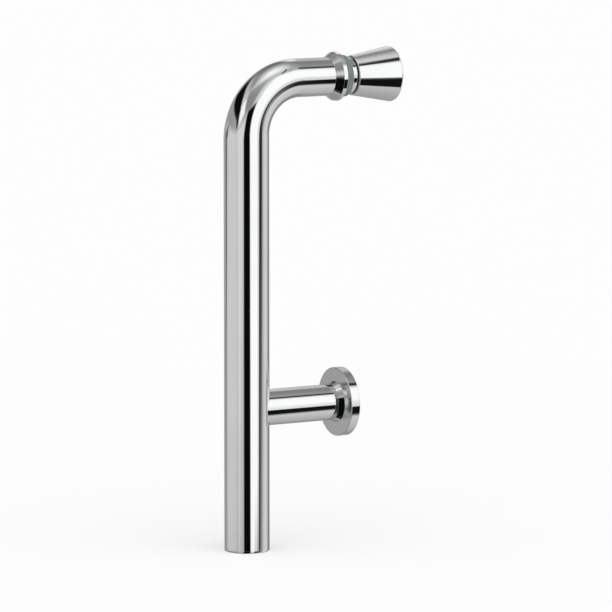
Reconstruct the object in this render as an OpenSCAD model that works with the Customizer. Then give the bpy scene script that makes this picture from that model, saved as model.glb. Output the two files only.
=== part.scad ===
// Pull handle for a sliding glass door
//
// A polished tube stands upright as the grip, turns through one bend and reaches the
// glass as a level arm. A stud in the arm's end passes through a hole in the glass into
// a flared knob on the other side. A side post lower down bears on the glass with a
// rosette, so that the handle can't turn about its stud.
//
// Frame: the glass face on the grip's side is the plane y = 0, and +Y points through the
// glass. The origin is the centre of the rosette's bearing face, and +Z runs up the grip.
// The glass itself is left out, so the two sides of the upper fixing touch at y = 0.

/* [Grip and arm] */
// Outside diameter of the upright grip
grip_d = 20; // [18:0.5:24]
// Outside diameter of the level arm
arm_d = 17; // [15:0.5:18]
// Wall of the grip and arm tube
tube_wall = 1.5; // [1:0.1:2]
// Height of the arm's axis above the side post's axis
spacing = 145; // [110:1:220]
// Distance from the grip's axis to the glass
standoff = 49; // [46:0.5:65]
// Length of the grip below the side post's axis
grip_below = 63; // [30:1:120]
// Radius of the bend at the tube's centre line
bend_r = 25; // [22:0.5:27]

/* [Side post] */
// Outside diameter of the side post
post_d = 16; // [14:0.5:17]
// Wall of the side post
post_wall = 1.5; // [1:0.1:2]

/* [Grip end cap] */
// Thickness of the cap's visible rim
cap_rim_t = 1.2; // [0.8:0.1:3]
// Chamfer round the cap's lower edge
cap_chamfer = 0.6; // [0.2:0.1:0.8]
// Depth of the cap's plug inside the grip
cap_plug_l = 8; // [4:0.5:15]
// Wall of the cap's hollow plug
cap_plug_wall = 2; // [1.5:0.25:3]

/* [Upper fixing, grip side] */
// Reach of the collar's back edge past the arm's surface
collar_overhang = 2.4; // [1.8:0.1:5]
// Radius that the collar loses from its back edge to its front edge
collar_taper = 0.2; // [0.2:0.1:0.5]
// Thickness of the collar's rim
collar_t = 1.8; // [1.5:0.1:4]
// Length of the cone that widens from the arm to the collar's rim
arm_neck_l = 3.1; // [1:0.1:4]
// Growth of the neck's radius from the side post to the rosette
neck_flare = 1.2; // [0.4:0.1:1.2]
// Diameter of the soft ring between the collar and the glass
gasket_d = 18.3; // [17:0.1:21]
// Thickness of that soft ring
gasket_t = 3.9; // [1:0.1:4]

/* [Upper fixing, knob side] */
// Thickness of the thin clear ring between the glass and the metal ring
knob_gasket_t = 0.3; // [0.3:0.1:1.5]
// Diameter of the metal ring
ring_d = 16.7; // [15:0.1:17]
// Thickness of the metal ring
ring_t = 2; // [2:0.1:8]
// Diameter of the thin black ring
seal_d = 16; // [14:0.1:16.2]
// Thickness of the thin black ring
seal_t = 0.8; // [0.3:0.1:1]
// Diameter of the knob at its foot
knob_foot_d = 17.4; // [17:0.1:20]
// Diameter of the knob at its far end
knob_end_d = 24.8; // [21:0.2:32]
// Length of the knob
knob_l = 21; // [20:0.1:40]
// Chamfer round the knob's foot
knob_foot_chamfer = 0.5; // [0.2:0.1:0.6]
// Rounding of the knob's far edge
knob_end_r = 0.8; // [0.3:0.1:2]
// Rise of the knob's far face at its middle
knob_dome = 0.6; // [0.2:0.1:1.2]

/* [Stud and sleeve] */
// Diameter of the threaded stud
stud_d = 8; // [6:1:8]
// Length of the threaded plug in the arm's end
arm_insert_l = 12; // [8:1:13]
// Depth of the stud in the knob
stud_in_knob = 13; // [8:0.5:14]
// Outside diameter of the plastic sleeve round the stud
sleeve_d = 12; // [11:0.5:13]
// Depth of the sleeve's seat in the metal ring
sleeve_in_ring = 1.2; // [0.8:0.1:1.8]

/* [Rosette] */
// Diameter of the rosette
rosette_d = 30.6; // [28:0.2:50]
// Thickness of the rosette
rosette_t = 4.4; // [4.2:0.1:6]
// Chamfer round both edges of the rosette
rosette_chamfer = 0.25; // [0.1:0.05:0.6]
// Length of the conical neck between the side post and the rosette
post_neck_l = 2.5; // [1:0.1:4]
// Diameter of the soft pad in the rosette's back
pad_d = 25; // [20:0.5:26]
// Depth of the pad's recess in the rosette
pad_recess = 1; // [0.5:0.1:1.2]
// Height of the pad above the rosette's back
pad_proud = 0.1; // [0.1:0.1:1]

/* [Rosette screw] */
// Diameter of the countersunk screw's shank
screw_d = 6; // [5:0.5:6]
// Length of the threaded plug in the side post
post_insert_l = 14; // [10:1:20]
// Depth of the screw in that plug
screw_in_insert = 10; // [6:0.5:10]
// Key size across the flats of the screw's socket
key_size = 4; // [3:0.5:4]
// Depth of the screw's socket
key_depth = 2; // [1:0.1:2.2]

/* [Fits] */
// Radial gap between a plug and the tube that holds it
plug_gap = 0.05; // [0.03:0.01:0.1]
// Radial gap round a thread, whose crests and roots are drawn as one plain cylinder
thread_gap = 0.05; // [0.02:0.01:0.1]
// Radial gap where a rod or sleeve passes freely
free_gap = 0.2; // [0.1:0.05:0.3]
// Gap between the side post's shaped end and the grip, filled by the weld
weld_gap = 0.03; // [0.02:0.01:0.1]

/* [Hidden] */
$fn = 96;

// Radii
grip_r = grip_d / 2;
arm_r = arm_d / 2;
post_r = post_d / 2;
grip_bore_r = grip_r - tube_wall;
arm_bore_r = arm_r - tube_wall;
post_bore_r = post_r - post_wall;
collar_r = arm_r + collar_overhang;
collar_front_r = collar_r - collar_taper;
gasket_r = gasket_d / 2;
ring_r = ring_d / 2;
seal_r = seal_d / 2;
stud_r = stud_d / 2;
sleeve_r = sleeve_d / 2;
rosette_r = rosette_d / 2;
pad_r = pad_d / 2;
screw_r = screw_d / 2;
stud_hole_r = stud_r + free_gap;
sleeve_hole_r = sleeve_r + free_gap;
screw_hole_r = screw_r + free_gap;
screw_head_r = 2 * screw_r;

// Places along Y at the upper fixing, counted from the glass
collar_back_y = -gasket_t;
collar_front_y = collar_back_y - collar_t;
arm_end_y = collar_front_y - arm_neck_l;
ring_front_y = knob_gasket_t;
ring_back_y = ring_front_y + ring_t;
knob_foot_y = ring_back_y + seal_t;

// Places along Y at the side post
rosette_back_y = -pad_proud;
rosette_front_y = rosette_back_y - rosette_t;
post_end_y = rosette_front_y - post_neck_l;
pad_seat_y = rosette_back_y - pad_recess;

// Places up the grip
grip_foot_z = -grip_below;
tube_foot_z = grip_foot_z + cap_rim_t;

// The bent tube is swept through rings: sides of a ring, and steps round the bend
tube_sides = 60;
bend_steps = 20;

// A cut reaches this far past the face it opens
cut = 1;
// Chamfer at the ends of studs and plugs
end_chamfer = 0.5;

// Turns a profile drawn as radius and height round the Z axis to lie along +Y
module along_y(y = 0, z = 0) {
    translate([0, y, z])
        rotate([-90, 0, 0])
            children();
}

// A plain ring along Y, from y0 to y1
module ring(r_out, r_in, y0, y1, z) {
    along_y(y0, z)
        difference() {
            cylinder(r = r_out, h = y1 - y0);
            translate([0, 0, -cut])
                cylinder(r = r_in, h = y1 - y0 + 2 * cut);
        }
}

// A rod along Y from y0 to y1 with chamfered ends
module chamfered_rod(r, y0, y1, z) {
    l = y1 - y0;
    c = end_chamfer;
    along_y(y0, z)
        rotate_extrude()
            polygon([[0, 0], [r - c, 0], [r, c], [r, l - c], [r - c, l], [0, l]]);
}

// The tube's axis as [place, direction across the tube in the YZ plane, outside radius]:
// up the grip, round the bend and along the arm
function bend_share(i) = i / bend_steps;
function bend_point(t) = [
    0,
    -standoff + bend_r * (1 - cos(90 * t)),
    spacing - bend_r + bend_r * sin(90 * t)
];
function bend_across(t) = [0, -cos(90 * t), sin(90 * t)];
function bend_radius(t) = grip_r + (arm_r - grip_r) * t;
tube_path = concat(
    [[[0, -standoff, tube_foot_z], bend_across(0), grip_r]],
    [for (i = [0 : bend_steps])
        [bend_point(bend_share(i)), bend_across(bend_share(i)), bend_radius(bend_share(i))]],
    [[[0, arm_end_y, spacing], bend_across(1), arm_r]]
);

// One ring of points round a place on the path
function tube_ring(station, inset) = [
    for (k = [0 : tube_sides - 1])
        let (a = 360 * (k + 0.5) / tube_sides, r = station[2] - inset)
        station[0] + r * cos(a) * station[1] + r * sin(a) * [1, 0, 0]
];

// The grip, bend and arm: one tube, hollow from its foot to the arm's end
module grip_tube() {
    n = len(tube_path);
    m = tube_sides;
    outer = [for (s = tube_path) each tube_ring(s, 0)];
    inner = [for (s = tube_path) each tube_ring(s, tube_wall)];
    first_inner = n * m;
    walls = [
        for (j = [0 : n - 2], k = [0 : m - 1])
            let (a = j * m + k, b = j * m + (k + 1) % m)
            each [
                [a, a + m, b + m, b],
                [first_inner + a, first_inner + b, first_inner + b + m, first_inner + a + m]
            ]
    ];
    ends = [
        for (k = [0 : m - 1])
            let (b = (k + 1) % m, top = (n - 1) * m)
            each [
                [k, b, first_inner + b, first_inner + k],
                [top + b, top + k, first_inner + top + k, first_inner + top + b]
            ]
    ];
    color("silver")
        polyhedron(points = concat(outer, inner), faces = concat(walls, ends), convexity = 8);
}

// The pressed-in cap that closes the grip's foot
module grip_end_cap() {
    plug_r = grip_bore_r - plug_gap;
    color("silver")
        translate([0, -standoff, grip_foot_z])
            rotate_extrude()
                polygon([
                    [0, 0],
                    [grip_r - cap_chamfer, 0],
                    [grip_r, cap_chamfer],
                    [grip_r, cap_rim_t],
                    [plug_r, cap_rim_t],
                    [plug_r, cap_rim_t + cap_plug_l],
                    [plug_r - cap_plug_wall, cap_rim_t + cap_plug_l],
                    [plug_r - cap_plug_wall, cap_rim_t],
                    [0, cap_rim_t]
                ]);
}

// The side post, its end shaped to the grip's round side
module side_post() {
    color("silver")
        difference() {
            ring(post_r, post_bore_r, -standoff, post_end_y, 0);
            translate([0, -standoff, -post_d])
                cylinder(r = grip_r + weld_gap, h = 2 * post_d);
        }
}

// A threaded plug pressed into a tube's end
module threaded_plug(r, hole_r, y_mouth, l, z) {
    c = end_chamfer;
    along_y(y_mouth - l, z)
        rotate_extrude()
            polygon([
                [hole_r, 0], [r - c, 0], [r, c], [r, l],
                [hole_r + c, l], [hole_r, l - c]
            ]);
}

module arm_insert() {
    color("darkkhaki")
        threaded_plug(arm_bore_r - plug_gap, stud_r + thread_gap, arm_end_y, arm_insert_l,
                      spacing);
}

module post_insert() {
    color("darkkhaki")
        threaded_plug(post_bore_r - plug_gap, screw_r + thread_gap, post_end_y,
                      post_insert_l, 0);
}

// The turned collar: a cone widens from the arm to its rim
module arm_collar() {
    back = arm_neck_l + collar_t;
    color("silver")
        along_y(arm_end_y, spacing)
            rotate_extrude()
                polygon([
                    [stud_hole_r, 0],
                    [arm_r, 0],
                    [collar_front_r, arm_neck_l],
                    [collar_r, back],
                    [stud_hole_r, back]
                ]);
}

module arm_gasket() {
    color([0.52, 0.58, 0.56])
        ring(gasket_r, sleeve_hole_r, collar_back_y, 0, spacing);
}

// The stud runs from the plug in the arm to the bottom of its hole in the knob
module through_stud() {
    color("gray")
        chamfered_rod(stud_r, arm_end_y - arm_insert_l, knob_foot_y + stud_in_knob, spacing);
}

// The sleeve fills the soft ring and the hole in the glass, and ends in the metal ring
module glass_sleeve() {
    color("whitesmoke")
        ring(sleeve_r, stud_hole_r, collar_back_y, ring_front_y + sleeve_in_ring, spacing);
}

module knob_gasket() {
    color([0.85, 0.88, 0.87])
        ring(ring_r, sleeve_hole_r, 0, ring_front_y, spacing);
}

// The metal ring, with a seat for the sleeve in its face
module knob_ring() {
    color("silver")
        along_y(ring_front_y, spacing)
            rotate_extrude()
                polygon([
                    [sleeve_hole_r, 0],
                    [ring_r, 0],
                    [ring_r, ring_t],
                    [stud_hole_r, ring_t],
                    [stud_hole_r, sleeve_in_ring],
                    [sleeve_hole_r, sleeve_in_ring]
                ]);
}

module knob_seal() {
    color([0.05, 0.05, 0.05])
        ring(seal_r, stud_hole_r, ring_back_y, knob_foot_y, spacing);
}

// The knob: a cone that widens away from the glass, with a low domed end
module knob() {
    foot_r = knob_foot_d / 2;
    end_r = knob_end_d / 2;
    dome_steps = 8;
    edge_steps = 6;
    rim_h = knob_l - knob_dome;
    edge = [
        for (i = [0 : edge_steps])
            let (a = 90 * i / edge_steps)
            [end_r - knob_end_r * (1 - cos(a)), rim_h - knob_end_r * (1 - sin(a))]
    ];
    dome = [
        for (i = [1 : dome_steps])
            let (s = 1 - i / dome_steps)
            [(end_r - knob_end_r) * s, rim_h + knob_dome * (1 - s * s)]
    ];
    hole_r = stud_r + thread_gap;
    color("silver")
        along_y(knob_foot_y, spacing)
            difference() {
                rotate_extrude()
                    polygon(concat(
                        [[0, 0], [foot_r - knob_foot_chamfer, 0],
                         [foot_r, knob_foot_chamfer]],
                        edge,
                        dome
                    ));
                translate([0, 0, -cut])
                    cylinder(r = hole_r, h = stud_in_knob + cut);
            }
}

// The conical ring between the side post and the rosette
module post_neck() {
    color("silver")
        along_y(post_end_y, 0)
            rotate_extrude()
                polygon([
                    [screw_hole_r, 0],
                    [post_r, 0],
                    [post_r + neck_flare, post_neck_l],
                    [screw_hole_r, post_neck_l]
                ]);
}

// The rosette: a flat disc with a recess for the pad and a hole countersunk at 90 degrees
module rosette() {
    c = rosette_chamfer;
    seat = rosette_t - pad_recess;
    head_r = screw_head_r + free_gap;
    color("silver")
        along_y(rosette_front_y, 0)
            rotate_extrude()
                polygon([
                    [screw_hole_r, 0],
                    [rosette_r - c, 0],
                    [rosette_r, c],
                    [rosette_r, rosette_t - c],
                    [rosette_r - c, rosette_t],
                    [pad_r + free_gap, rosette_t],
                    [pad_r + free_gap, seat],
                    [head_r, seat],
                    [screw_hole_r, seat - (head_r - screw_hole_r)]
                ]);
}

module rosette_screw() {
    tip_y = post_end_y - screw_in_insert;
    l = pad_seat_y - tip_y;
    head_h = screw_head_r - screw_r;
    c = end_chamfer;
    color("gray")
        along_y(tip_y, 0)
            difference() {
                rotate_extrude()
                    polygon([
                        [0, 0], [screw_r - c, 0], [screw_r, c],
                        [screw_r, l - head_h], [screw_head_r, l], [0, l]
                    ]);
                translate([0, 0, l - key_depth])
                    cylinder(d = key_size / cos(30), h = key_depth + cut, $fn = 6);
            }
}

module rosette_pad() {
    color([0.9, 0.9, 0.88])
        along_y(pad_seat_y, 0)
            cylinder(r = pad_r, h = -pad_seat_y);
}

grip_tube();
grip_end_cap();
side_post();
arm_insert();
arm_collar();
arm_gasket();
through_stud();
glass_sleeve();
knob_gasket();
knob_ring();
knob_seal();
knob();
post_insert();
post_neck();
rosette();
rosette_screw();
rosette_pad();
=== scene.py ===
import math

import bmesh
import bpy
from mathutils import Matrix, Vector


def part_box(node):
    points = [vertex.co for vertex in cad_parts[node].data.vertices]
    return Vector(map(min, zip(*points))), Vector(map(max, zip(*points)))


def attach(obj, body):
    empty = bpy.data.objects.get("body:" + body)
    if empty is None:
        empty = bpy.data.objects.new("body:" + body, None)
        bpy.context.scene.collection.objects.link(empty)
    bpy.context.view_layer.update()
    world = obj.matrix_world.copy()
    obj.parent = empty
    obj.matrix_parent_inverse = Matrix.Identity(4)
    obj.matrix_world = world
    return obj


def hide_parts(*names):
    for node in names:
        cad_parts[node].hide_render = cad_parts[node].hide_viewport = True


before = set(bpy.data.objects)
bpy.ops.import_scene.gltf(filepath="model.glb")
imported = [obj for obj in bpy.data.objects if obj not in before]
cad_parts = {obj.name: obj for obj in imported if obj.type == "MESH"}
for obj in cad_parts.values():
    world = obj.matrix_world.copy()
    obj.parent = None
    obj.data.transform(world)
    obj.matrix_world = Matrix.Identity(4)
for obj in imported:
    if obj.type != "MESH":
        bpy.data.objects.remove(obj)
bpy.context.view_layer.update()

bl_info = {
    "name": "Sliding door handle",
    "version": (1, 0, 0),
    "blender": (4, 5, 0),
    "location": "3D View > Sidebar > Handle",
    "description": "Dresses the solid model of a glass door's pull handle and its studio",
    "category": "Object",
}

BODY = "root"
MM = 0.001

# Corners: a rounded corner is an arc of this many steps, with a loop close to each end that
# keeps the long faces beside it flat. An arc takes up no more than its share of a side, and
# a side that is shorter than so many times the arc's reach gets no loop.
ARC_STEPS = 5
ARC_SHARE = 0.45
SUPPORT = 0.04 * MM
SUPPORT_ROOM = 3

# Roundings of sharper and softer corners, as shares of the edge rounding
SHARP = 0.25
CRISP = 0.5
SOFT = 1.5

# Sides of a turned piece, sides and bend steps of the tube, and steps of the knob's dome
LATHE_STEPS = 160
TUBE_SIDES = 160
BEND_STEPS = 72
DOME_STEPS = 10

# Points closer than this are one point, and a steeper turn than this is a sharp edge
MERGE_DISTANCE = 1e-7
SHARP_ANGLE = math.radians(40.0)

# Noise behind every finish, and the parts of its range that reach the colour and the gloss
CLOUD_DETAIL = 3.0
GRAIN_DETAIL = 6.0
GRAIN_ROUGHNESS = 0.65
CLOUD_RANGE = (0.35, 0.6)
GRAIN_RANGE = (0.3, 0.7)
RELIEF_DEPTH = 0.02 * MM

# Satin finish of the rosette's front face, and the depth over which it ends
FACE_ROUGHNESS = 0.2
FACE_BLEND = 0.1 * MM

# Width of the camera's sensor in millimetres, and how far the camera sees
SENSOR_WIDTH = 36.0
CAMERA_REACH = 100.0


def half_width(node):
    """Radius of a round CAD node, from its box across the handle."""
    low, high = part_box(node)
    return (high.x - low.x) / 2


def span(node):
    """Where a CAD node starts and ends along the arm's direction."""
    low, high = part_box(node)
    return low.y, high.y


def middle_height(node):
    """Height of a CAD node's middle."""
    low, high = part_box(node)
    return (low.z + high.z) / 2


# Places taken from the frame
GRIP_LOW, GRIP_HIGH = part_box("grip_end_cap")
GRIP_Y = (GRIP_LOW.y + GRIP_HIGH.y) / 2
FOOT_Z = GRIP_LOW.z
ARM_Z = middle_height("arm_collar")
POST_Z = middle_height("side_post")


def length_property(name, description, default):
    """A size that the user may change, in metres and shown in scene units."""
    return bpy.props.FloatProperty(
        name=name, description=description, default=default, min=0.0,
        unit="LENGTH", precision=5)


def colour_property(name, description, default):
    """A colour that the user may change."""
    return bpy.props.FloatVectorProperty(
        name=name, description=description, default=default, size=3,
        subtype="COLOR", min=0.0, max=1.0)


class HandleSizes(bpy.types.PropertyGroup):
    """Sizes of the handle's visible pieces."""
    grip_radius: length_property(
        "Grip radius", "Outside radius of the upright grip", half_width("grip_end_cap"))
    arm_radius: length_property(
        "Arm radius", "Outside radius of the level arm", 8.5 * MM)
    post_radius: length_property(
        "Post radius", "Outside radius of the side post", half_width("side_post"))
    wall: length_property(
        "Tube wall", "Wall of the grip, the arm and the post", 1.5 * MM)
    bend_radius: length_property(
        "Bend radius", "Radius of the bend at the tube's centre line", 25.0 * MM)
    cap_rim: length_property(
        "Cap rim", "Height of the end cap's visible rim", 1.2 * MM)
    cap_round: length_property(
        "Cap rounding", "Rounding of the end cap's lower edge", 1.0 * MM)
    cap_plug_wall: length_property(
        "Cap plug wall", "Wall of the end cap's hollow plug", 2.0 * MM)
    cap_gap: length_property(
        "Cap gap", "Gap between the end cap's plug and the tube", 0.05 * MM)
    collar_cone: length_property(
        "Collar cone", "Length of the cone from the arm to the collar's rim", 3.1 * MM)
    collar_taper: length_property(
        "Collar taper", "Radius lost from the collar's back to its front", 0.2 * MM)
    stud_hole: length_property(
        "Stud hole", "Radius of the hole round the stud", 4.2 * MM)
    sleeve_hole: length_property(
        "Sleeve hole", "Radius of the hole round the sleeve", 6.2 * MM)
    sleeve_seat: length_property(
        "Sleeve seat", "Depth of the sleeve's seat in the metal ring", 1.2 * MM)
    knob_foot: length_property(
        "Knob foot", "Radius of the knob at its foot", 8.7 * MM)
    knob_foot_edge: length_property(
        "Knob foot edge", "Rounding of the knob's foot", 0.5 * MM)
    knob_edge: length_property(
        "Knob edge", "Rounding of the knob's far edge", 0.8 * MM)
    knob_dome: length_property(
        "Knob dome", "Rise of the knob's far face at its middle", 0.6 * MM)
    knob_bore: length_property(
        "Knob bore", "Depth of the stud's hole in the knob", 13.0 * MM)
    knob_fit: length_property(
        "Knob fit", "Radius that the stud's hole loses in the knob", 0.15 * MM)
    screw_hole: length_property(
        "Screw hole", "Radius of the hole round the rosette's screw", 3.2 * MM)
    screw_head: length_property(
        "Screw head", "Radius of the countersink for the screw's head", 6.2 * MM)
    pad_recess: length_property(
        "Pad recess", "Depth of the pad's recess in the rosette", 1.0 * MM)
    pad_gap: length_property(
        "Pad gap", "Gap between the pad and the edge of its recess", 0.2 * MM)
    edge: length_property(
        "Edge rounding", "Rounding of the turned pieces' crisp edges", 0.2 * MM)


class HandleColours(bpy.types.PropertyGroup):
    """Colours of the handle's materials."""
    chrome: colour_property(
        "Chrome", "Colour of the polished metal", (0.93, 0.935, 0.94))
    soft_ring: colour_property(
        "Soft ring", "Colour of the soft ring behind the collar", (0.17, 0.2, 0.195))
    clear_ring: colour_property(
        "Clear ring", "Colour of the thin ring on the knob's side", (0.32, 0.35, 0.34))
    black_ring: colour_property(
        "Black ring", "Colour of the ring at the knob's foot", (0.012, 0.012, 0.013))
    pad: colour_property(
        "Pad", "Colour of the rosette's soft pad", (0.62, 0.62, 0.6))
    brass: colour_property(
        "Plugs", "Colour of the threaded plugs", (0.68, 0.5, 0.24))
    steel: colour_property(
        "Steel", "Colour of the stud and the screw", (0.56, 0.56, 0.58))
    sleeve: colour_property(
        "Sleeve", "Colour of the plastic sleeve", (0.75, 0.75, 0.73))


class StudioSettings(bpy.types.PropertyGroup):
    """The floor, the light and the camera."""
    floor_colour: colour_property(
        "Floor", "Colour of the floor", (0.985, 0.985, 0.985))
    floor_size: length_property(
        "Floor size", "Half the width of the floor", 15.0)
    light: bpy.props.FloatProperty(
        name="Light", description="Strength of the even light all round", default=1.0,
        min=0.0)
    front_light: bpy.props.FloatProperty(
        name="Front light", description="Share of the light that comes more from the front",
        default=0.8, min=0.0, max=1.0, subtype="FACTOR")
    shadow: bpy.props.FloatProperty(
        name="Shadow", description="Strength of the handle's shadow on the floor",
        default=0.6, min=0.0, max=1.0, subtype="FACTOR")
    lens: bpy.props.FloatProperty(
        name="Lens", description="Focal length for a sensor 36 mm wide, in millimetres",
        default=276.5, min=1.0)
    camera_azimuth: bpy.props.FloatProperty(
        name="Camera azimuth", description="Direction of the camera round the handle",
        default=math.radians(60.69), unit="ROTATION")
    camera_tilt: bpy.props.FloatProperty(
        name="Camera tilt", description="How far the camera looks down",
        default=math.radians(7.485), unit="ROTATION")
    camera_distance: length_property(
        "Camera distance", "Level distance from the grip to the camera", 2.0448)
    camera_right: length_property(
        "Camera offset", "Shift of the camera to the right of the grip", 0.02603)
    camera_height: length_property(
        "Camera height", "Height of the camera above the arm", 0.16936)


# Outlines of turned pieces

def rounded(corners):
    """Points of a closed outline. A corner is (radius, place, rounding)."""
    points = []
    count = len(corners)
    for i, (x, y, rounding) in enumerate(corners):
        here = Vector((x, y))
        before = Vector(corners[i - 1][:2]) - here
        after = Vector(corners[(i + 1) % count][:2]) - here
        if rounding <= 0.0 or here.x == 0.0:
            points.append(here)
            continue
        half_turn = before.angle(after) / 2
        reach = rounding / math.tan(half_turn)
        room = ARC_SHARE * min(before.length, after.length)
        if reach > room:
            reach = room
            rounding = reach * math.tan(half_turn)
        start = here + before.normalized() * reach
        end = here + after.normalized() * reach
        centre = here + (before.normalized() + after.normalized()).normalized() * (
            rounding / math.sin(half_turn))
        if before.length > SUPPORT_ROOM * (reach + SUPPORT):
            points.append(start + before.normalized() * SUPPORT)
        swing = (end - centre).angle_signed(start - centre)
        for k in range(ARC_STEPS + 1):
            turn = Matrix.Rotation(swing * k / ARC_STEPS, 2)
            points.append(centre + turn @ (start - centre))
        if after.length > SUPPORT_ROOM * (reach + SUPPORT):
            points.append(end + after.normalized() * SUPPORT)
    return points


def finish_mesh(bm, name, material, node):
    """Turns a bmesh into the piece that stands for a CAD node."""
    bmesh.ops.remove_doubles(bm, verts=bm.verts, dist=MERGE_DISTANCE)
    bmesh.ops.recalc_face_normals(bm, faces=bm.faces)
    for face in bm.faces:
        face.smooth = True
    mesh = bpy.data.meshes.new(name)
    bm.to_mesh(mesh)
    bm.free()
    piece = bpy.data.objects.new(name, mesh)
    bpy.context.scene.collection.objects.link(piece)
    mesh.materials.append(material)
    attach(piece, BODY)
    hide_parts(node)
    return piece


def lathe(name, corners, height, material, node):
    """A turned piece. It turns about the arm's direction at a height, or about the grip
    where the height is None."""
    bm = bmesh.new()
    if height is None:
        centre, axis = Vector((0.0, GRIP_Y, 0.0)), Vector((0.0, 0.0, 1.0))
        verts = [bm.verts.new((p.x, GRIP_Y, p.y)) for p in rounded(corners)]
    else:
        centre, axis = Vector((0.0, 0.0, height)), Vector((0.0, 1.0, 0.0))
        verts = [bm.verts.new((p.x, p.y, height)) for p in rounded(corners)]
    edges = [bm.edges.new(pair) for pair in zip(verts, verts[1:])]
    if corners[0][0] > 0.0:
        edges.append(bm.edges.new((verts[-1], verts[0])))
    bmesh.ops.spin(
        bm, geom=verts + edges, cent=centre, axis=axis, angle=math.tau,
        steps=LATHE_STEPS, use_merge=True)
    return finish_mesh(bm, name, material, node)


# Materials

def new_group(name, vectors, floats, results):
    """An empty node group with vector inputs, number inputs and number outputs."""
    group = bpy.data.node_groups.new(name, "ShaderNodeTree")
    for names, direction, kind in (
            (vectors, "INPUT", "NodeSocketVector"),
            (floats, "INPUT", "NodeSocketFloat"),
            (results, "OUTPUT", "NodeSocketFloat")):
        for socket in names:
            group.interface.new_socket(name=socket, in_out=direction, socket_type=kind)
    return group


def math_node(nodes, links, operation, first, second=None):
    """A calculation with one or two values, each a number or another node's output."""
    node = nodes.new("ShaderNodeMath")
    node.operation = operation
    for socket, value in zip(node.inputs, (first, second)):
        if isinstance(value, (int, float)):
            socket.default_value = value
        elif value is not None:
            links.new(value, socket)
    return node.outputs[0]


def dot_node(nodes, links, direction, vector):
    """How far a direction agrees with a fixed vector."""
    node = nodes.new("ShaderNodeVectorMath")
    node.operation = "DOT_PRODUCT"
    node.inputs[1].default_value = vector
    links.new(direction, node.inputs[0])
    return node.outputs["Value"]


def finish_group():
    """The slow cloudiness and fine grain of any polished or moulded surface."""
    group = bpy.data.node_groups.get("Surface finish")
    if group:
        return group
    group = new_group(
        "Surface finish", ("Vector", "Stretch"), ("Cloud size", "Grain size"),
        ("Cloud", "Grain"))
    nodes, links = group.nodes, group.links
    inputs = nodes.new("NodeGroupInput")
    outputs = nodes.new("NodeGroupOutput")
    stretch = nodes.new("ShaderNodeVectorMath")
    stretch.operation = "MULTIPLY"
    links.new(inputs.outputs["Vector"], stretch.inputs[0])
    links.new(inputs.outputs["Stretch"], stretch.inputs[1])
    cloud = nodes.new("ShaderNodeTexNoise")
    cloud.inputs["Detail"].default_value = CLOUD_DETAIL
    links.new(inputs.outputs["Vector"], cloud.inputs["Vector"])
    links.new(inputs.outputs["Cloud size"], cloud.inputs["Scale"])
    grain = nodes.new("ShaderNodeTexNoise")
    grain.inputs["Detail"].default_value = GRAIN_DETAIL
    grain.inputs["Roughness"].default_value = GRAIN_ROUGHNESS
    links.new(stretch.outputs[0], grain.inputs["Vector"])
    links.new(inputs.outputs["Grain size"], grain.inputs["Scale"])
    links.new(cloud.outputs["Fac"], outputs.inputs["Cloud"])
    links.new(grain.outputs["Fac"], outputs.inputs["Grain"])
    return group


def ramp(nodes, links, source, old, new):
    """Stretches a value that varies over the surface from an old range to a new one."""
    node = nodes.new("ShaderNodeMapRange")
    node.inputs["From Min"].default_value, node.inputs["From Max"].default_value = old
    node.inputs["To Min"].default_value, node.inputs["To Max"].default_value = new
    links.new(source, node.inputs["Value"])
    return node.outputs["Result"]


def finished_material(name, colour_name, metallic, roughness, tint, cloud, grain,
                      stretch=(1.0, 1.0, 1.0), bump=0.0):
    """A material whose colour, gloss and relief vary a little over the surface."""
    material = bpy.data.materials.get(name)
    if material:
        return material
    material = bpy.data.materials.new(name)
    material.use_nodes = True
    colour = getattr(bpy.context.scene.handle_colours, colour_name)
    nodes, links = material.node_tree.nodes, material.node_tree.links
    shader = nodes["Principled BSDF"]
    place = nodes.new("ShaderNodeTexCoord")
    finish = nodes.new("ShaderNodeGroup")
    finish.node_tree = finish_group()
    finish.inputs["Cloud size"].default_value = cloud
    finish.inputs["Grain size"].default_value = grain
    finish.inputs["Stretch"].default_value = stretch
    links.new(place.outputs["Object"], finish.inputs["Vector"])
    shade = nodes.new("ShaderNodeMix")
    shade.data_type = "RGBA"
    shade.inputs["A"].default_value = (*(c * (1.0 - tint) for c in colour), 1.0)
    shade.inputs["B"].default_value = (*colour, 1.0)
    links.new(ramp(nodes, links, finish.outputs["Cloud"], CLOUD_RANGE, (0.0, 1.0)),
              shade.inputs["Factor"])
    links.new(shade.outputs["Result"], shader.inputs["Base Color"])
    links.new(ramp(nodes, links, finish.outputs["Grain"], GRAIN_RANGE, roughness),
              shader.inputs["Roughness"])
    if bump > 0.0:
        relief = nodes.new("ShaderNodeBump")
        relief.inputs["Strength"].default_value = bump
        relief.inputs["Distance"].default_value = RELIEF_DEPTH
        links.new(finish.outputs["Grain"], relief.inputs["Height"])
        links.new(relief.outputs["Normal"], shader.inputs["Normal"])
    shader.inputs["Metallic"].default_value = metallic
    return material


def chrome(name="polished chrome"):
    return finished_material(
        name, "chrome", metallic=1.0, roughness=(0.015, 0.045), tint=0.03,
        cloud=35.0, grain=260.0)


def rosette_chrome(face):
    """The same chrome, with a flat front face that is turned to a satin finish."""
    material = chrome("rosette chrome")
    nodes, links = material.node_tree.nodes, material.node_tree.links
    rough = nodes["Principled BSDF"].inputs["Roughness"]
    polished = rough.links[0].from_socket
    place = nodes.new("ShaderNodeTexCoord")
    split = nodes.new("ShaderNodeSeparateXYZ")
    links.new(place.outputs["Object"], split.inputs[0])
    satin = ramp(nodes, links, split.outputs["Y"], (face, face + FACE_BLEND),
                 (FACE_ROUGHNESS, 0.0))
    links.new(math_node(nodes, links, "ADD", polished, satin), rough)
    return material


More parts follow.
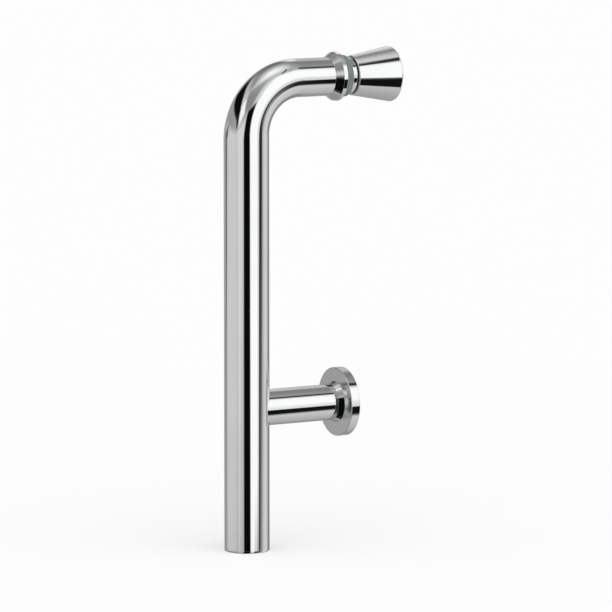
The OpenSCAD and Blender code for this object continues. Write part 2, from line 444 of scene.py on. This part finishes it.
def soft_ring_material():
    return finished_material(
        "soft grey ring", "soft_ring", metallic=0.0, roughness=(0.42, 0.6), tint=0.18,
        cloud=160.0, grain=1400.0, bump=0.15)


def clear_ring_material():
    return finished_material(
        "clear ring", "clear_ring", metallic=0.0, roughness=(0.28, 0.4), tint=0.12,
        cloud=160.0, grain=1400.0, bump=0.1)


def black_ring_material():
    return finished_material(
        "black rubber", "black_ring", metallic=0.0, roughness=(0.5, 0.7), tint=0.3,
        cloud=200.0, grain=1800.0, bump=0.25)


def pad_material():
    return finished_material(
        "soft pad", "pad", metallic=0.0, roughness=(0.5, 0.7), tint=0.08,
        cloud=120.0, grain=1200.0, bump=0.3)


def brass_material():
    return finished_material(
        "turned brass", "brass", metallic=1.0, roughness=(0.18, 0.34), tint=0.15,
        cloud=90.0, grain=300.0, stretch=(1.0, 9.0, 1.0), bump=0.2)


def steel_material():
    return finished_material(
        "plain steel", "steel", metallic=1.0, roughness=(0.22, 0.4), tint=0.12,
        cloud=90.0, grain=300.0, stretch=(1.0, 9.0, 1.0), bump=0.2)


def sleeve_material():
    return finished_material(
        "moulded plastic", "sleeve", metallic=0.0, roughness=(0.35, 0.5), tint=0.06,
        cloud=120.0, grain=1500.0, bump=0.1)


# The handle's pieces

def sweep(bm, loop, centre, angle, radius, stations):
    """Extrudes a ring of edges from where it is through places further along the tube.

    A station is (centre, angle, radius), and the angle leans the ring from level towards
    the arm's direction."""
    for next_centre, next_angle, next_radius in stations:
        made = bmesh.ops.extrude_edge_only(bm, edges=loop)["geom"]
        verts = [item for item in made if isinstance(item, bmesh.types.BMVert)]
        loop = [item for item in made if isinstance(item, bmesh.types.BMEdge)
                and all(v in verts for v in item.verts)]
        move = (Matrix.Translation(next_centre)
                @ Matrix.Rotation(-next_angle, 4, "X")
                @ Matrix.Scale(next_radius / radius, 4)
                @ Matrix.Rotation(angle, 4, "X")
                @ Matrix.Translation(-centre))
        bmesh.ops.transform(bm, matrix=move, verts=verts)
        centre, angle, radius = next_centre, next_angle, next_radius
    return loop


def tube_stations(sizes, inset):
    """The tube's centre line up the grip, round the bend and along the arm."""
    foot_z = FOOT_Z + sizes.cap_rim
    arm_end = span("arm_collar")[0]
    turn_y, turn_z = GRIP_Y + sizes.bend_radius, ARM_Z - sizes.bend_radius
    stations = [(Vector((0.0, GRIP_Y, foot_z)), 0.0, sizes.grip_radius - inset)]
    for i in range(BEND_STEPS + 1):
        share = i / BEND_STEPS
        angle = share * math.pi / 2
        radius = sizes.grip_radius + (sizes.arm_radius - sizes.grip_radius) * share
        centre = Vector((
            0.0,
            turn_y - sizes.bend_radius * math.cos(angle),
            turn_z + sizes.bend_radius * math.sin(angle)))
        stations.append((centre, angle, radius - inset))
    stations.append((Vector((0.0, arm_end, ARM_Z)), math.pi / 2, sizes.arm_radius - inset))
    return stations


class HANDLE_OT_grip(bpy.types.Operator):
    """Makes the grip, its bend and the arm as one smooth hollow tube"""
    bl_idname = "handle.grip"
    bl_label = "Grip tube"

    def execute(self, context):
        sizes = context.scene.handle_sizes
        outer = tube_stations(sizes, 0.0)
        inner = tube_stations(sizes, sizes.wall)
        inner.reverse()
        bm = bmesh.new()
        foot, angle, radius = outer[0]
        bmesh.ops.create_circle(
            bm, cap_ends=False, segments=TUBE_SIDES, radius=radius,
            matrix=Matrix.Translation(foot))
        first = list(bm.edges)
        last = sweep(bm, first, foot, angle, radius, outer[1:] + inner)
        bmesh.ops.bridge_loops(bm, edges=first + last)
        tube = finish_mesh(bm, "grip_and_arm", chrome(), "grip_tube")
        tube.data.set_sharp_from_angle(angle=SHARP_ANGLE)
        return {"FINISHED"}


class HANDLE_OT_end_cap(bpy.types.Operator):
    """Makes the cap that closes the grip's foot"""
    bl_idname = "handle.end_cap"
    bl_label = "End cap"

    def execute(self, context):
        sizes = context.scene.handle_sizes
        low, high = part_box("grip_end_cap")
        rim_z = low.z + sizes.cap_rim
        plug = sizes.grip_radius - sizes.wall - sizes.cap_gap
        inside = plug - sizes.cap_plug_wall
        edge = sizes.edge
        lathe("end_cap", [
            (0.0, low.z, 0.0),
            (sizes.grip_radius, low.z, sizes.cap_round),
            (sizes.grip_radius, rim_z, edge * SHARP),
            (plug, rim_z, edge),
            (plug, high.z, edge),
            (inside, high.z, edge),
            (inside, rim_z, edge),
            (0.0, rim_z, 0.0),
        ], None, chrome(), "grip_end_cap")
        return {"FINISHED"}


class HANDLE_OT_side_post(bpy.types.Operator):
    """Makes the side post, with its end shaped to the grip"""
    bl_idname = "handle.side_post"
    bl_label = "Side post"

    def execute(self, context):
        sizes = context.scene.handle_sizes
        end = span("side_post")[1]
        bm = bmesh.new()
        centre = Vector((0.0, end, POST_Z))
        upright = math.pi / 2
        bmesh.ops.create_circle(
            bm, cap_ends=False, segments=TUBE_SIDES, radius=sizes.post_radius,
            matrix=Matrix.Translation(centre) @ Matrix.Rotation(-upright, 4, "X"))
        first = list(bm.edges)
        near = Vector((0.0, GRIP_Y + sizes.grip_radius, POST_Z))
        bore = sizes.post_radius - sizes.wall
        stations = [
            (near, upright, sizes.post_radius),
            (near, upright, bore),
            (centre, upright, bore),
        ]
        last = sweep(bm, first, centre, upright, sizes.post_radius, stations)
        bmesh.ops.bridge_loops(bm, edges=first + last)
        for vert in bm.verts:
            if vert.co.y < (near.y + end) / 2:
                vert.co.y = GRIP_Y + math.sqrt(
                    max(sizes.grip_radius ** 2 - vert.co.x ** 2, 0.0))
        post = finish_mesh(bm, "post", chrome(), "side_post")
        post.data.set_sharp_from_angle(angle=SHARP_ANGLE)
        return {"FINISHED"}


class HANDLE_OT_collar(bpy.types.Operator):
    """Makes the collar at the arm's end"""
    bl_idname = "handle.collar"
    bl_label = "Arm collar"

    def execute(self, context):
        sizes = context.scene.handle_sizes
        start, back = span("arm_collar")
        front = start + sizes.collar_cone
        radius = half_width("arm_collar")
        edge = sizes.edge
        lathe("collar", [
            (sizes.stud_hole, start, edge),
            (sizes.arm_radius, start, edge * SHARP),
            (radius - sizes.collar_taper, front, edge),
            (radius, back, edge),
            (sizes.stud_hole, back, edge),
        ], ARM_Z, chrome(), "arm_collar")
        return {"FINISHED"}


class HANDLE_OT_rings(bpy.types.Operator):
    """Makes the soft ring, the thin clear ring, the metal ring and the black ring"""
    bl_idname = "handle.rings"
    bl_label = "Rings"

    def execute(self, context):
        sizes = context.scene.handle_sizes
        edge = sizes.edge

        def plain_ring(name, node, hole, material, rounding):
            start, end = span(node)
            radius = half_width(node)
            lathe(name, [
                (hole, start, rounding),
                (radius, start, rounding),
                (radius, end, rounding),
                (hole, end, rounding),
            ], ARM_Z, material, node)

        plain_ring("soft_ring", "arm_gasket", sizes.sleeve_hole, soft_ring_material(), edge)
        plain_ring("clear_ring", "knob_gasket", sizes.sleeve_hole, clear_ring_material(),
                   edge * CRISP)
        plain_ring("black_ring", "knob_seal", sizes.stud_hole, black_ring_material(),
                   edge * CRISP)
        start, end = span("knob_ring")
        radius = half_width("knob_ring")
        lathe("metal_ring", [
            (sizes.sleeve_hole, start, edge),
            (radius, start, edge),
            (radius, end, edge),
            (sizes.stud_hole, end, edge),
            (sizes.stud_hole, start + sizes.sleeve_seat, edge),
            (sizes.sleeve_hole, start + sizes.sleeve_seat, edge),
        ], ARM_Z, chrome(), "knob_ring")
        return {"FINISHED"}


class HANDLE_OT_knob(bpy.types.Operator):
    """Makes the flared knob with its low domed end"""
    bl_idname = "handle.knob"
    bl_label = "Knob"

    def execute(self, context):
        sizes = context.scene.handle_sizes
        foot, end = span("knob")
        rim = end - sizes.knob_dome
        radius = half_width("knob")
        bore = sizes.stud_hole - sizes.knob_fit
        dome_radius = radius - sizes.knob_edge
        dome = []
        for i in range(1, DOME_STEPS + 1):
            share = 1.0 - i / DOME_STEPS
            dome.append((dome_radius * share, rim + sizes.knob_dome * (1.0 - share ** 2), 0.0))
        lathe("knob_body", [
            (0.0, foot + sizes.knob_bore, 0.0),
            (bore, foot + sizes.knob_bore, sizes.edge),
            (bore, foot, sizes.edge),
            (sizes.knob_foot, foot, sizes.knob_foot_edge),
            (radius, rim, sizes.knob_edge),
        ] + dome, ARM_Z, chrome(), "knob")
        return {"FINISHED"}


class HANDLE_OT_rosette(bpy.types.Operator):
    """Makes the neck behind the post, the rosette and its soft pad"""
    bl_idname = "handle.rosette"
    bl_label = "Rosette"

    def execute(self, context):
        sizes = context.scene.handle_sizes
        edge = sizes.edge
        start, base = span("post_neck")
        lathe("neck", [
            (sizes.screw_hole, start, edge),
            (sizes.post_radius, start, edge * SHARP),
            (half_width("post_neck"), base, edge * SHARP),
            (sizes.screw_hole, base, edge),
        ], POST_Z, chrome(), "post_neck")
        front, back = span("rosette")
        radius = half_width("rosette")
        pad_radius = half_width("rosette_pad")
        seat = back - sizes.pad_recess
        sink = sizes.screw_head - sizes.screw_hole
        lathe("rosette_disc", [
            (sizes.screw_hole, front, edge * CRISP),
            (radius, front, edge * SOFT),
            (radius, back, edge * SOFT),
            (pad_radius + sizes.pad_gap, back, edge),
            (pad_radius + sizes.pad_gap, seat, edge),
            (sizes.screw_head, seat, edge * CRISP),
            (sizes.screw_hole, seat - sink, edge * SHARP),
        ], POST_Z, rosette_chrome(front), "rosette")
        seat_y, face_y = span("rosette_pad")
        lathe("pad", [
            (0.0, seat_y, 0.0),
            (pad_radius, seat_y, edge),
            (pad_radius, face_y, edge * SOFT),
            (0.0, face_y, 0.0),
        ], POST_Z, pad_material(), "rosette_pad")
        return {"FINISHED"}


class HANDLE_OT_fasteners(bpy.types.Operator):
    """Gives the plugs, the stud, the sleeve and the screw their finishes"""
    bl_idname = "handle.fasteners"
    bl_label = "Fasteners"

    def execute(self, context):
        finishes = {
            "arm_insert": brass_material(),
            "post_insert": brass_material(),
            "through_stud": steel_material(),
            "rosette_screw": steel_material(),
            "glass_sleeve": sleeve_material(),
        }
        for node, material in finishes.items():
            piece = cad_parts[node]
            if piece.material_slots:
                piece.material_slots[0].material = material
            else:
                piece.data.materials.append(material)
        return {"FINISHED"}


# The studio

# Soft boxes and flags that the metal reflects, each drawn over the ones before it. A card is
# flat: (azimuth, elevation, roll, half width, half height, edge, brightness), with degrees
# from the camera's direction and sizes as shares of the distance.
CARDS = (
    (-28.4, 89.0, 15.3, 1.532, 0.450, 0.600, 1.098),
    (-144.9, 52.5, 38.1, 1.066, 0.258, 0.427, 0.164),
    (-20.7, 44.1, 6.9, 0.378, 0.370, 0.171, 0.247),
    (-46.3, 28.2, 48.6, 0.199, 0.253, 0.076, 0.970),
    (-110.2, 33.3, 3.4, 0.663, 0.185, 0.050, 0.002),
    (-104.9, 36.6, 0.5, 0.381, 0.171, 0.096, 0.004),
    (-81.7, 32.7, -19.1, 0.404, 0.151, 0.056, 0.004),
    (-55.9, 19.4, -62.2, 0.162, 0.096, 0.072, 0.008),
    (-89.6, -3.2, -0.5, 0.889, 0.179, 0.100, 0.616),
    (-118.7, -1.2, -63.6, 0.089, 0.209, 0.071, 0.104),
    (-26.4, 3.0, 17.1, 0.375, 0.183, 0.080, 0.695),
    (17.2, 62.3, 0.0, 0.466, 0.136, 0.330, 0.370),
    (36.8, 6.8, -0.3, 0.387, 0.350, 0.050, 1.033),
    (53.8, 28.3, -34.8, 0.442, 0.267, 0.089, 1.046),
    (4.2, -5.2, 1.2, 0.263, 0.625, 0.070, 0.003),
    (-3.3, -38.0, -7.8, 0.303, 0.981, 0.080, 0.003),
    (72.8, -14.5, -30.9, 0.183, 0.352, 0.066, 0.017),
    (117.6, 56.3, 9.6, 0.536, 0.189, 0.187, 0.284),
    (176.8, 55.7, -51.6, 1.843, 0.080, 0.513, 0.098),
    (55.6, 60.9, 54.2, 0.152, 0.021, 0.020, 0.010),
    (82.0, 51.5, 41.0, 0.073, 0.050, 0.040, 0.020),
    (88.2, -9.7, 19.2, 0.282, 0.050, 0.119, 0.469),
    (149.0, -25.0, 19.4, 0.265, 0.468, 0.166, 0.229),
    (51.2, -31.1, 1.9, 0.215, 0.370, 0.037, 0.006),
    (-156.1, 7.0, 35.7, 0.099, 0.306, 0.096, 0.560),
    (179.2, 31.4, 16.1, 0.062, 0.321, 0.070, 0.861),
    (0.0, -89.0, 0.0, 0.190, 0.190, 0.030, 0.015),
)

# A card shows only where the direction leans at least this far towards it
CARD_FRONT = 0.02

# Brightness between the cards, and how it grows towards the camera, to the right and upwards
EVEN_LIGHT = 0.511
LIGHT_LEAN = (0.076, 0.232, 0.134)


def card_group():
    """Draws one flat card with soft edges over the brightness that comes in."""
    group = new_group(
        "Studio card", ("Direction", "Turn"),
        ("Half width", "Half height", "Edge", "Brightness", "Behind"), ("Value",))
    nodes, links = group.nodes, group.links
    inputs = nodes.new("NodeGroupInput").outputs
    outputs = nodes.new("NodeGroupOutput").inputs
    turned = nodes.new("ShaderNodeMapping")
    turned.vector_type = "TEXTURE"
    links.new(inputs["Direction"], turned.inputs["Vector"])
    links.new(inputs["Turn"], turned.inputs["Rotation"])
    parts = nodes.new("ShaderNodeSeparateXYZ")
    links.new(turned.outputs["Vector"], parts.inputs["Vector"])
    mask = math_node(nodes, links, "GREATER_THAN", parts.outputs["X"], CARD_FRONT)
    edge_start = math_node(nodes, links, "MULTIPLY", inputs["Edge"], -1.0)
    for axis, size in (("Y", "Half width"), ("Z", "Half height")):
        place = math_node(nodes, links, "DIVIDE", parts.outputs[axis], parts.outputs["X"])
        away = math_node(nodes, links, "ABSOLUTE", place)
        depth = math_node(nodes, links, "SUBTRACT", inputs[size], away)
        soft = nodes.new("ShaderNodeMapRange")
        soft.interpolation_type = "SMOOTHSTEP"
        links.new(depth, soft.inputs["Value"])
        links.new(edge_start, soft.inputs["From Min"])
        links.new(inputs["Edge"], soft.inputs["From Max"])
        mask = math_node(nodes, links, "MULTIPLY", mask, soft.outputs["Result"])
    over = nodes.new("ShaderNodeMix")
    over.data_type = "FLOAT"
    links.new(mask, over.inputs["Factor"])
    links.new(inputs["Behind"], over.inputs["A"])
    links.new(inputs["Brightness"], over.inputs["B"])
    links.new(over.outputs["Result"], outputs["Value"])
    return group


def build_world(settings):
    """An even white room, and a studio that only reflections show.

    Matt surfaces get more of the room's light from the front, and the camera sees the room
    in the floor's colour."""
    world = bpy.data.worlds.new("studio")
    bpy.context.scene.world = world
    world.use_nodes = True
    nodes, links = world.node_tree.nodes, world.node_tree.links
    nodes.clear()
    direction = nodes.new("ShaderNodeTexCoord").outputs["Generated"]
    rays = nodes.new("ShaderNodeLightPath").outputs
    start = settings.camera_azimuth - math.pi / 2
    to_camera = Matrix.Rotation(start, 3, "Z")

    slope = dot_node(nodes, links, direction, to_camera @ Vector(LIGHT_LEAN))
    shade = math_node(nodes, links, "ADD", slope, EVEN_LIGHT)
    group = card_group()
    for azimuth, elevation, roll, half_width_share, half_height_share, edge, value in CARDS:
        card = nodes.new("ShaderNodeGroup")
        card.node_tree = group
        card.inputs["Turn"].default_value = (
            math.radians(roll), -math.radians(elevation), math.radians(azimuth) + start)
        card.inputs["Half width"].default_value = half_width_share
        card.inputs["Half height"].default_value = half_height_share
        card.inputs["Edge"].default_value = edge
        card.inputs["Brightness"].default_value = value
        links.new(direction, card.inputs["Direction"])
        links.new(shade, card.inputs["Behind"])
        shade = card.outputs["Value"]
    shade = math_node(nodes, links, "MAXIMUM", shade, 0.0)

    front = to_camera @ Vector((settings.front_light * settings.light, 0.0, 0.0))
    extra = math_node(nodes, links, "MULTIPLY", dot_node(nodes, links, direction, front),
                      rays["Is Diffuse Ray"])
    seen = math_node(nodes, links, "MULTIPLY", rays["Is Camera Ray"],
                     settings.floor_colour[0] - settings.light)
    level = math_node(nodes, links, "ADD", seen, settings.light)
    room = math_node(nodes, links, "ADD", extra, level)

    chosen = nodes.new("ShaderNodeMixShader")
    links.new(rays["Is Glossy Ray"], chosen.inputs[0])
    for strength, socket in ((room, chosen.inputs[1]), (shade, chosen.inputs[2])):
        light = nodes.new("ShaderNodeBackground")
        light.inputs["Color"].default_value = (1.0, 1.0, 1.0, 1.0)
        links.new(strength, light.inputs["Strength"])
        links.new(light.outputs["Background"], socket)
    output = nodes.new("ShaderNodeOutputWorld")
    links.new(chosen.outputs["Shader"], output.inputs["Surface"])
    world.cycles.sampling_method = "NONE"


def build_floor(settings):
    """A wide pale floor that keeps the handle's shadow, at a strength that can be set."""
    bm = bmesh.new()
    bmesh.ops.create_grid(
        bm, x_segments=1, y_segments=1, size=settings.floor_size,
        matrix=Matrix.Translation((0.0, GRIP_Y, FOOT_Z)))
    mesh = bpy.data.meshes.new("floor")
    bm.to_mesh(mesh)
    bm.free()
    floor = bpy.data.objects.new("floor", mesh)
    bpy.context.scene.collection.objects.link(floor)
    material = bpy.data.materials.new("studio floor")
    material.use_nodes = True
    nodes, links = material.node_tree.nodes, material.node_tree.links
    shader = nodes["Principled BSDF"]
    shader.inputs["Base Color"].default_value = (*settings.floor_colour, 1.0)
    shader.inputs["Roughness"].default_value = 1.0
    shader.inputs["Specular IOR Level"].default_value = 0.0
    glow = nodes.new("ShaderNodeEmission")
    glow.inputs["Color"].default_value = (*settings.floor_colour, 1.0)
    rays = nodes.new("ShaderNodeLightPath")
    chosen = nodes.new("ShaderNodeMixShader")
    links.new(math_node(nodes, links, "MULTIPLY", rays.outputs["Is Camera Ray"],
                        1.0 - settings.shadow), chosen.inputs[0])
    links.new(shader.outputs["BSDF"], chosen.inputs[1])
    links.new(glow.outputs["Emission"], chosen.inputs[2])
    links.new(chosen.outputs["Shader"], nodes["Material Output"].inputs["Surface"])
    mesh.materials.append(material)
    floor.visible_glossy = False


def build_camera(settings):
    """A camera that looks down a little, at its place round the grip."""
    camera = bpy.data.objects.new("camera", bpy.data.cameras.new("camera"))
    bpy.context.scene.collection.objects.link(camera)
    camera.data.sensor_width = SENSOR_WIDTH
    camera.data.lens = settings.lens
    camera.data.clip_end = CAMERA_REACH
    turn = settings.camera_azimuth
    back = Vector((math.sin(turn), -math.cos(turn), 0.0))
    right = Vector((math.cos(turn), math.sin(turn), 0.0))
    camera.location = (
        Vector((0.0, GRIP_Y, ARM_Z + settings.camera_height))
        + right * settings.camera_right
        + back * settings.camera_distance)
    camera.rotation_euler = (math.pi / 2 - settings.camera_tilt, 0.0, turn)
    bpy.context.scene.camera = camera


class HANDLE_OT_studio(bpy.types.Operator):
    """Makes the floor, the light and the camera"""
    bl_idname = "handle.studio"
    bl_label = "Studio"

    def execute(self, context):
        settings = context.scene.studio_settings
        build_world(settings)
        build_floor(settings)
        build_camera(settings)
        context.scene.view_settings.view_transform = "Standard"
        return {"FINISHED"}


class HANDLE_PT_panel(bpy.types.Panel):
    """Lists the handle's pieces and settings"""
    bl_label = "Door handle"
    bl_space_type = "VIEW_3D"
    bl_region_type = "UI"
    bl_category = "Handle"

    def draw(self, context):
        layout = self.layout
        for operator in PIECES:
            layout.operator(operator.bl_idname)
        for group in (context.scene.handle_sizes, context.scene.handle_colours,
                      context.scene.studio_settings):
            box = layout.box()
            for name in group.bl_rna.properties.keys():
                if name not in ("rna_type", "name"):
                    box.prop(group, name)


PIECES = (
    HANDLE_OT_grip,
    HANDLE_OT_end_cap,
    HANDLE_OT_side_post,
    HANDLE_OT_collar,
    HANDLE_OT_rings,
    HANDLE_OT_knob,
    HANDLE_OT_rosette,
    HANDLE_OT_fasteners,
    HANDLE_OT_studio,
)
CLASSES = (HandleSizes, HandleColours, StudioSettings) + PIECES + (HANDLE_PT_panel,)


def register():
    for cls in CLASSES:
        bpy.utils.register_class(cls)
    bpy.types.Scene.handle_sizes = bpy.props.PointerProperty(type=HandleSizes)
    bpy.types.Scene.handle_colours = bpy.props.PointerProperty(type=HandleColours)
    bpy.types.Scene.studio_settings = bpy.props.PointerProperty(type=StudioSettings)


def unregister():
    del bpy.types.Scene.studio_settings
    del bpy.types.Scene.handle_colours
    del bpy.types.Scene.handle_sizes
    for cls in reversed(CLASSES):
        bpy.utils.unregister_class(cls)


def main():
    register()
    bpy.ops.handle.grip()
    bpy.ops.handle.end_cap()
    bpy.ops.handle.side_post()
    bpy.ops.handle.collar()
    bpy.ops.handle.rings()
    bpy.ops.handle.knob()
    bpy.ops.handle.rosette()
    bpy.ops.handle.fasteners()
    bpy.ops.handle.studio()


if __name__ == "__main__":
    main()
